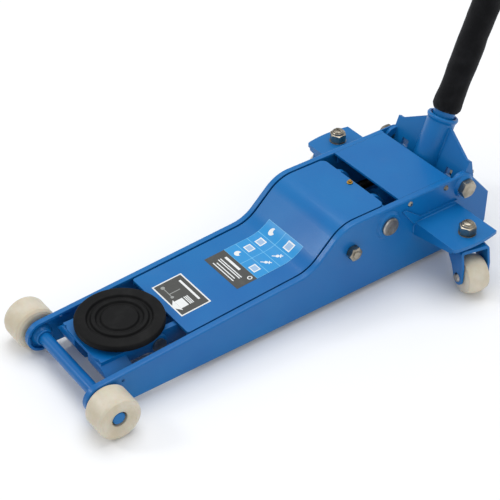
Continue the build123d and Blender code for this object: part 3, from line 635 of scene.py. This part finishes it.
link_rear = joints["link_swing"]["pos_m"]
link_head = hex_bolt(flats=19 * MM, seat=80 * MM, head=87.6 * MM, radius=6 * MM, end=0)
link_parts = [placed(piece, link_rear, (-1, 0, 0)) for piece in link_head]
link_parts.append(placed(threaded("thread", 6 * MM, 0, 92 * MM, plain=76 * MM), link_rear, (1, 0, 0)))
link_nut = hexagon("nut", 19 * MM, 80 * MM, 90 * MM, bottom_chamfer=True)
link_parts.append(placed(link_nut, link_rear, (1, 0, 0)))
link_bolt = joined("long_link_bolt", link_parts)
ready(link_bolt, zinc, "frame", "zinc_fastener", "link_bolt")

stud_x, stud_y, _ = joints["caster_right_swivel"]["pos_m"]
EAR_TOP = 85 * MM


def caster_stud():
    top = EAR_TOP + 18.5 * MM
    collar = [(9.3 * MM, EAR_TOP + 12 * MM), (9.3 * MM, EAR_TOP + 15.6 * MM), (8.4 * MM, EAR_TOP + 16.5 * MM),
              (7.2 * MM, EAR_TOP + 16.5 * MM)]
    slot = block("slot", (15 * MM, 1.8 * MM, 3.0 * MM), (0, 0, top))
    thread = threaded("thread", 7 * MM, 62 * MM, top, plain=EAR_TOP)
    apply(thread, "BOOLEAN", operation="DIFFERENCE", object=slot, solver="EXACT")
    bpy.data.objects.remove(slot)
    return [hexagon("nut", 22 * MM, EAR_TOP + 0.8 * MM, EAR_TOP + 13.5 * MM, bottom_chamfer=True),
            turned("washer", [(12.6 * MM, EAR_TOP), (12.6 * MM, EAR_TOP + 0.8 * MM)], 48),
            turned("collar", collar, 48),
            thread,
            turned("flange", [(11 * MM, 61 * MM), (11 * MM, 65.2 * MM), (10.2 * MM, 66 * MM)], 48)]


studs = joined("caster_studs_and_nuts", both_sides(caster_stud, (stud_x, stud_y, 0), (0, 0, 1)))
ready(studs, zinc, "frame", "zinc_fastener", "caster_studs")

# %% [markdown]
# ## Springs
#
# A coil is a small circle carried round an axis while it climbs, which is what
# the Screw modifier does. Two long springs pull the arm's heel back when the
# valve is opened, so each spans from the arm to the frame. The short spring
# lifts the pump plunger.

# %% Coils
def coil(name, wire_r, coil_r, length, turns, steps=20):
    bpy.ops.object.select_all(action="DESELECT")
    bpy.ops.mesh.primitive_circle_add(vertices=10, radius=wire_r, location=(coil_r, 0, 0),
                                      rotation=(math.pi / 2, 0, 0))
    piece = bpy.context.object
    piece.name = name
    pick(piece)
    bpy.ops.object.transform_apply(location=True, rotation=True, scale=True)
    apply(piece, "SCREW", axis="Z", screw_offset=length / turns, iterations=turns, steps=steps,
          render_steps=steps, use_merge_vertices=False)
    bpy.ops.object.mode_set(mode="EDIT")
    bpy.ops.mesh.select_all(action="SELECT")
    bpy.ops.mesh.fill_holes(sides=12)
    bpy.ops.mesh.select_all(action="SELECT")
    bpy.ops.mesh.normals_make_consistent(inside=False)
    bpy.ops.object.mode_set(mode="OBJECT")
    return piece


def loop(name, radius, wire_r, at, toward):
    bpy.ops.object.select_all(action="DESELECT")
    bpy.ops.mesh.primitive_torus_add(major_radius=radius, minor_radius=wire_r, major_segments=36,
                                     minor_segments=10)
    piece = bpy.context.object
    piece.name = name
    return placed(piece, at, toward)


heel_low, heel_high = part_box("heel_pin")
heel = (heel_low + heel_high) / 2
spring_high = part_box("return_springs")[1]
SPRING_X, WIRE_R, COIL_R = 52 * MM, 1.25 * MM, 5.7 * MM
ANCHOR_Y = spring_high.y - 6.6 * MM
coil_start = heel.y + 13 * MM
coil_length = ANCHOR_Y - 8 * MM - coil_start


def return_spring(x):
    body = placed(coil("coil", WIRE_R, COIL_R, coil_length, turns=34), (x, coil_start, heel.z), (0, 1, 0))
    front = loop("front", 9.4 * MM, WIRE_R, (x, heel.y, heel.z), (1, 0, 0))
    rear = loop("rear", 5.4 * MM, WIRE_R, (x, ANCHOR_Y, heel.z), (0, 0, 1))
    neck = turned("neck", [(WIRE_R, 0), (WIRE_R, 7 * MM)], 10)
    placed(neck, (x, heel.y + 8.6 * MM, heel.z), (0, 1, 0))
    tail = turned("tail", [(WIRE_R, 0), (WIRE_R, 6 * MM)], 10)
    placed(tail, (x, ANCHOR_Y - 10.6 * MM, heel.z), (0, 1, 0))
    return [body, front, rear, neck, tail]


springs = joined("return_spring_coils", return_spring(-SPRING_X) + return_spring(SPRING_X))
settle(springs, 60)
dress(springs, wire)
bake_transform(springs)
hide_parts("return_springs")
print("return springs:", len(springs.data.polygons), "faces")

seat_low, seat_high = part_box("pump_spring")
seat = (seat_low + seat_high) / 2
pump_length = seat_high.z - seat_low.z - 2.4 * MM
pump_coil = coil("pump_spring_coil", 1.2 * MM, 10.4 * MM, pump_length, turns=5, steps=28)
placed(pump_coil, (seat.x, seat.y, seat_low.z + 1.2 * MM))
settle(pump_coil, 60)
dress(pump_coil, wire)
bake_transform(pump_coil)
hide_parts("pump_spring")
print("pump spring:", len(pump_coil.data.polygons), "faces")

# %% [markdown]
# ## Weld beads
#
# The frame, the caster brackets and the yoke are welded, and the paint goes on
# afterwards, so the joints that show have a rippled blue bead in the corner. A
# bead is one more lathe shape: ripples of uneven radius along a line, half sunk
# into the two plates.

# %% Welds on the frame
PLATE_X = 80 * MM


def bracket_beads(side):
    inner = side * (PLATE_X + 3.2 * MM)
    outer = side * (PLATE_X + 0.2 * MM)
    ear_front = stud_y - 42 * MM
    ear_rear = stud_y + 36 * MM
    ear_low = EAR_TOP - 5 * MM
    return [bead((inner, ear_front + 10 * MM, EAR_TOP), (inner, ear_rear - 2 * MM, EAR_TOP), 2.0 * MM),
            bead((outer, ear_front, 64 * MM), (outer, ear_front, 80 * MM), 1.8 * MM),
            bead((outer, ear_rear - 68 * MM, ear_low), (outer, ear_rear, ear_low), 2.0 * MM)]


frame_welds = joined("frame_weld_beads", bracket_beads(-1) + bracket_beads(1))
ready(frame_welds, paint, "frame", "blue_paint", smooth=60)

axle_low, axle_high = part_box("front_axle")
axle = (axle_low + axle_high) / 2
axle_rings = []
for side in (-1, 1):
    axle_rings.append(loop("ring", 10.2 * MM, 2.0 * MM, (side * 67.6 * MM, axle.y, axle.z), (1, 0, 0)))
axle_welds = joined("axle_weld_rings", axle_rings)
lumps = bpy.data.textures.new("weld_lumps", "CLOUDS")
lumps.noise_scale = 5 * MM
settle(axle_welds)
apply(axle_welds, "DISPLACE", texture=lumps, strength=1.6 * MM, mid_level=0.5)
ready(axle_welds, paint, "frame", "blue_paint", smooth=60)

# %% [markdown]
# The yoke's neck is welded to its winged plate down both sides, and the plate
# to the ears. These beads lean with the handle, so they are placed along the
# handle's axis from the yoke's pivot.

# %% Welds on the yoke and the arm
across_yoke = Vector((1, 0, 0))
front_of_yoke = across_yoke.cross(handle_axis)


def on_yoke(x, forward, up):
    """A point on the leaning yoke: sideways, towards the saddle, and up the handle."""
    return yoke_pivot + across_yoke * x + front_of_yoke * forward + handle_axis * up


yoke_beads = []
for side in (-1, 1):
    neck_x = side * 21.2 * MM
    yoke_beads.append(bead(on_yoke(neck_x, 2.0 * MM, 10 * MM), on_yoke(neck_x, 2.0 * MM, 61 * MM), 1.6 * MM))
    ear_x = side * 70.2 * MM
    yoke_beads.append(bead(on_yoke(ear_x, -3.2 * MM, 17 * MM), on_yoke(ear_x, -3.2 * MM, 34 * MM), 1.9 * MM))
yoke_welds = joined("yoke_weld_beads", yoke_beads)
ready(yoke_welds, paint, "yoke", "blue_paint", smooth=60)

COVER_Z, COVER_RISE = 52.9 * MM, 0.0665
ARM_BEAD_START, ARM_BEAD_END = 152 * MM, 318 * MM


def cover_top(distance):
    """Height of the arm cover's low stretch, at a distance behind the front axle."""
    return COVER_Z + COVER_RISE * distance


arm_beads = []
for x in (-41.6, -32.4, 32.4, 41.6):
    ends = []
    for distance in (ARM_BEAD_START, ARM_BEAD_END):
        ends.append((x * MM, axle.y + distance, cover_top(distance) - 4.6 * MM))
    arm_beads.append(bead(*ends, 1.8 * MM))
arm_welds = joined("arm_weld_beads", arm_beads)
ready(arm_welds, paint, "lift_arm", "blue_paint", smooth=60)

# %% [markdown]
# ## Printed labels
#
# Two stickers lie on the arm cover: a small dark plate with a pale border near
# the saddle, and a larger one that runs up the bend, made as two sheets: a dark
# band and a grid of blue cells with pale lines. A sticker is a thin sheet that follows what it is
# stuck to, so a flat grid is shrink-wrapped onto the cover and then thickened.
# The printing is drawn by the shader in the sheet's own UV map, from boxes,
# discs and a wedge. It shows plain signs only and no lettering.

# %% Shapes to print with
class Print(Finish):
    """A finish that draws flat shapes in a sheet's UV map."""

    def __init__(self, name, width, height):
        super().__init__(name)
        sheet = self.node("ShaderNodeTexCoord", output="UV")
        self.across = self.axis("X", sheet) * (width / MM)
        self.along = self.axis("Y", sheet) * (height / MM)

    def box(self, x, y, half_width, half_height, across=None, along=None):
        """1 inside a rectangle, in millimetres on the sheet."""
        inside_x = abs((across or self.across) - x).below(half_width)
        inside_y = abs((along or self.along) - y).below(half_height)
        return inside_x * inside_y

    def disc(self, x, y, radius, across=None, along=None):
        from_x = (across or self.across) - x
        from_y = (along or self.along) - y
        return (from_x * from_x + from_y * from_y).below(radius * radius)

    def wedge(self, x, y, half_width, height):
        """A triangle with its point up, or down where the height is negative."""
        share = (self.along - y) * (1 / height)
        inside = abs(self.across - x).below((1.0 - share) * half_width)
        return inside * abs(share - 0.5).below(0.5)

    def printed(self, colour, rough=0.34):
        """Vinyl with a faint grain and a little dirt over the printing."""
        dirt = self.noise(60.0, 5.0, 0.65).ramp(0.5, 0.85)
        grain = self.noise(1200.0, 2.0)
        colour = self.mix(dirt * 0.16, colour, tone(120, 118, 110))
        normal = self.bump(grain + dirt, 0.02 * MM)
        return self.surface(Base_Color=colour, Roughness=rough + dirt * 0.2, Normal=normal)


INK_GREY = tone(66, 66, 62)
INK_WHITE = tone(232, 234, 232)
INK_PALE = tone(150, 152, 148)
INK_BLUE = tone(28, 142, 206)
INK_LINE = tone(110, 186, 226)

# %% [markdown]
# The front plate shows two thin bars with two discs, a block with a wedge that
# points to the saddle and three stripes behind it, and one thick bar. The large
# label's band has one thick stripe, four thin ones and a ring. Each blue cell
# holds a small tool shape: a bowl, a crank or a plate, picked by its number.

# %% Draw the labels
def front_print(width, height):
    art = Print("front_label_print", width, height)
    w, h = width / MM, height / MM
    field = art.box(w / 2, h / 2, w / 2 - 2.0, h / 2 - 2.0)
    sign = art.wedge(w * 0.70, h * 0.18, 12.5, -9.0).larger(art.box(w * 0.70, h * 0.31, 8.5, 6.0))
    stripes = art.box(w * 0.70, h * 0.50, 8.5, 0.7)
    for step in (0.55, 0.60):
        stripes = stripes.larger(art.box(w * 0.70, h * step, 8.5, 0.7))
    outline = art.box(w * 0.28, h * 0.24, 13.0, 0.6).larger(art.box(w * 0.36, h * 0.42, 0.7, 9.0))
    outline = outline.larger(art.disc(w * 0.14, h * 0.24, 3.0)).larger(art.disc(w * 0.46, h * 0.24, 2.4))
    bar = art.box(w * 0.48, h * 0.80, 24.0, 1.6)
    colour = art.mix(field, INK_WHITE, INK_GREY)
    colour = art.mix(outline, colour, INK_PALE)
    colour = art.mix(sign.larger(stripes).larger(bar), colour, INK_WHITE)
    return art.printed(colour)


def band_print(width, height):
    art = Print("band_label_print", width, height)
    w, h = width / MM, height / MM
    stripes = art.box(w * 0.40, h * 0.78, 17.0, 1.9)
    for share, half in ((0.56, 25.0), (0.46, 25.0), (0.30, 21.0), (0.17, 24.0)):
        stripes = stripes.larger(art.box(w * 0.48, h * share, half, 0.8))
    mark = art.disc(w * 0.90, h * 0.80, 3.6) * (1.0 - art.disc(w * 0.90, h * 0.80, 2.2))
    return art.printed(art.mix(stripes.larger(mark), INK_GREY, INK_WHITE))


def cell_print(width, height):
    art = Print("cell_label_print", width, height)
    columns, rows = 2, 4
    wide, tall = width / MM / columns, height / MM / rows
    column = art.across * (1 / wide)
    row = art.along * (1 / tall)
    u = (column.fraction() - 0.5) * wide
    v = (row.fraction() - 0.5) * tall
    number = column - column.fraction() + (row - row.fraction()) * 2.0
    slant_u = (u + v) * 0.7
    slant_v = (v - u) * 0.7
    odd = abs((number * 0.5).fraction() - 0.5).below(0.25)
    third = abs((number * 0.34).fraction() - 0.5).below(0.2)
    bowl = art.disc(-1.0, 0.5, 5.2, u, v) * (1.0 - art.disc(3.2, 3.6, 3.4, u, v))
    tool = art.box(0, 0, 8.0, 0.8, slant_u, slant_v).larger(art.disc(0, 0, 2.6, u, v))
    tool = tool.larger(art.box(4.5, 0, 0.8, 3.0, slant_u, slant_v))
    plate = art.box(0, 0, 7.0, 6.0, u, v) * (1.0 - art.box(0, 0, 5.2, 4.4, u, v) * 0.6)
    shape = bowl * (1.0 - odd) + tool * odd
    shape = shape * (1.0 - third) + plate * third
    line = (0.5 * wide - abs(u)).below(0.45).larger((0.5 * tall - abs(v)).below(0.45))
    colour = art.mix(line, INK_BLUE, INK_LINE)
    colour = art.mix(shape, colour, INK_WHITE)
    return art.printed(colour)


# %% Stick them on
def sticker(name, width, start, end, art, rows=24):
    """A sheet across the arm cover between two distances behind the front axle."""
    bpy.ops.object.select_all(action="DESELECT")
    length = end - start
    middle = (0.4 * MM, axle.y + (start + end) / 2, 0.16)
    bpy.ops.mesh.primitive_grid_add(x_subdivisions=12, y_subdivisions=rows, size=1, location=middle)
    piece = bpy.context.object
    piece.name = name
    piece.scale = (width, length, 1)
    settle(piece)
    apply(piece, "SHRINKWRAP", target=nodes["arm_cover"], wrap_method="PROJECT", use_project_z=True,
          use_negative_direction=True, use_positive_direction=False, offset=0.06 * MM)
    apply(piece, "SOLIDIFY", thickness=0.12 * MM, offset=1.0)
    settle(piece, 60)
    dress(piece, art)
    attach(piece, "lift_arm")
    lowest, highest = piece.bound_box[0][2] / MM, piece.bound_box[6][2] / MM
    print(name, "lies from", round(lowest, 1), "to", round(highest, 1), "mm high")
    return piece


PLATE_W, LABEL_W = 73 * MM, 78 * MM
sticker("front_label", PLATE_W, 149.5 * MM, 196.5 * MM, front_print(PLATE_W, 47 * MM))
sticker("band_label", LABEL_W, 236.6 * MM, 269.5 * MM, band_print(LABEL_W, 33 * MM))
sticker("cell_label", LABEL_W, 269.7 * MM, 347 * MM, cell_print(LABEL_W, 80 * MM), 60)

# %% [markdown]
# ## Studio
#
# The jack stands on a pale floor under large soft lights: a wide one overhead
# that brightens every top face, a key from the front left and a weaker fill
# from the right. The camera looks down from the front right, far enough away
# for a long lens, and is rolled by half a degree.

# %% Floor, lights and camera
def studio_floor():
    bpy.ops.object.select_all(action="DESELECT")
    bpy.ops.mesh.primitive_plane_add(size=24, location=(0, 0, 0))
    floor = bpy.context.object
    floor.name = "studio_floor"
    finish = Finish("pale_floor")
    cloud = finish.noise(1.3, 3.0)
    colour = finish.mix(cloud, tone(246, 246, 246), tone(250, 250, 250))
    dress(floor, finish.surface(Base_Color=colour, Roughness=0.9 + cloud * 0.05, Specular_IOR_Level=0.1))
    return floor


def soft_light(name, place, size, watts, target=(0, 0, 0.1)):
    data = bpy.data.lights.new(name, "AREA")
    data.shape = "SQUARE"
    data.size = size
    data.energy = watts
    light = bpy.data.objects.new(name, data)
    bpy.context.scene.collection.objects.link(light)
    light.location = place
    light.rotation_euler = (Vector(target) - Vector(place)).to_track_quat("-Z", "Y").to_euler()
    return light


def studio_camera():
    azimuth, elevation, roll = (math.radians(angle) for angle in (54.556, 37.801, -0.498))
    across = Vector((math.cos(azimuth), math.sin(azimuth), 0))
    back = Vector((math.sin(azimuth) * math.cos(elevation), -math.cos(azimuth) * math.cos(elevation),
                   math.sin(elevation)))
    up = back.cross(across)
    right = math.cos(roll) * across + math.sin(roll) * up
    top = math.cos(roll) * up - math.sin(roll) * across
    data = bpy.data.cameras.new("studio_camera")
    data.sensor_width = 36.0
    data.lens = 103.42
    data.clip_end = 60.0
    camera = bpy.data.objects.new("studio_camera", data)
    bpy.context.scene.collection.objects.link(camera)
    place = Matrix.Translation((1.2540, -1.0964, 1.2812))
    camera.matrix_world = place @ Matrix((right, top, back)).transposed().to_4x4()
    bpy.context.scene.camera = camera
    return camera


studio_floor()
soft_light("overhead", (-0.4, 0.3, 2.6), 2.2, 38)
soft_light("key", (-1.7, -2.2, 2.0), 0.7, 16)
soft_light("fill", (2.6, -0.6, 1.1), 1.8, 11)
studio_camera()

world = bpy.data.worlds.new("studio_air")
world.use_nodes = True
world.node_tree.nodes["Background"].inputs["Color"].default_value = tone(244, 247, 252)
world.node_tree.nodes["Background"].inputs["Strength"].default_value = 0.62
bpy.context.scene.world = world
bpy.context.scene.view_settings.view_transform = "Standard"
print("studio: floor, 3 lights, camera with a", bpy.context.scene.camera.data.lens, "mm lens")
